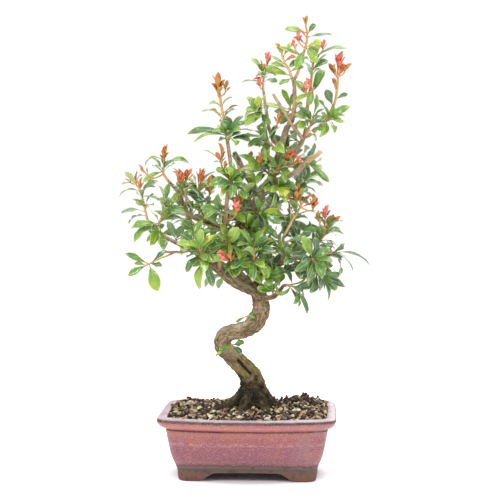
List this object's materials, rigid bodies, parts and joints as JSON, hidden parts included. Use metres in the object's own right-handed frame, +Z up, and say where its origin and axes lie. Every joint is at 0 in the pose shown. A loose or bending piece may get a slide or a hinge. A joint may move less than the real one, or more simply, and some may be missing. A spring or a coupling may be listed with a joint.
{
  "type": "pomegranate bonsai",
  "caption": "Small pomegranate tree with an S-bent trunk and glossy leafy shoots with red tips, growing in gritty soil in a footed oblong glazed pot.",
  "frame": {"origin": "on the ground under the middle of the whole bonsai's bounding box; the pot's middle is about 6 mm to its right (+X) and 8 mm to its front (-Y)", "axes": "+Z up, +X along the pot's long side to the right as seen from the front, -Y towards the front"},
  "size_m": [0.295, 0.1664, 0.5351],
  "materials": {
    "glaze": "satin old-rose glaze, speckled, bare clay at the feet",
    "screen_plastic": "matte black",
    "potting_grit": "dry granules of pumice, clay and bark",
    "bark": "dull grey-brown bark, mossy at the foot",
    "leaf": "glossy green leaf on orange-tan young twigs",
    "red_leaf": "satin red-orange new leaf"
  },
  "bodies": {
    "root": {"pot": "glaze", "drain_screen_1": "screen_plastic", "drain_screen_2": "screen_plastic", "soil": "potting_grit", "trunk": "bark", "shoot_far_left": "leaf", "shoot_left_cluster": "leaf", "shoot_left_low": "leaf", "shoot_left_spire": "leaf", "shoot_left_fan": "leaf", "shoot_left_inner": "leaf", "shoot_olive": "leaf", "shoot_mid_left": "leaf", "shoot_low_bud": "leaf", "shoot_spire_low": "leaf", "shoot_spire_mid": "leaf", "shoot_spire_top": "leaf", "shoot_spire_red": "leaf", "shoot_centre_red": "leaf", "shoot_top": "leaf", "shoot_right_top": "leaf", "shoot_right_stem": "leaf", "shoot_left_top": "leaf", "shoot_left_top_low": "leaf", "shoot_mast_low": "leaf", "shoot_mast_high": "leaf", "shoot_right_spire": "leaf", "shoot_right_arm": "leaf", "shoot_right_fork": "leaf", "shoot_right_limb": "leaf", "shoot_right_fan": "leaf", "shoot_leader_left": "leaf", "shoot_leader_low": "leaf", "shoot_leader_right": "leaf", "shoot_centre_top": "leaf", "shoot_centre_mid": "leaf", "shoot_centre_bright": "leaf", "shoot_centre_front": "leaf", "shoot_base_right": "leaf", "shoot_right_low": "leaf", "shoot_rosette": "leaf", "shoot_far_right": "leaf", "shoot_riser": "leaf", "shoot_right_tips": "leaf", "shoot_right_inner": "leaf", "shoot_back_limb": "leaf", "shoot_back_low": "leaf", "shoot_back_right": "leaf", "shoot_back_side": "leaf", "shoot_back_left": "leaf", "shoot_back_inner": "leaf", "sprout_bend": "leaf", "sprout_top": "leaf", "tip_spire": "red_leaf", "tip_right_spire": "red_leaf", "tip_top": "red_leaf", "tip_left_spire": "red_leaf", "tip_right_fan": "red_leaf", "tip_riser": "red_leaf", "tip_right": "red_leaf"}
  },
  "joints": []
}
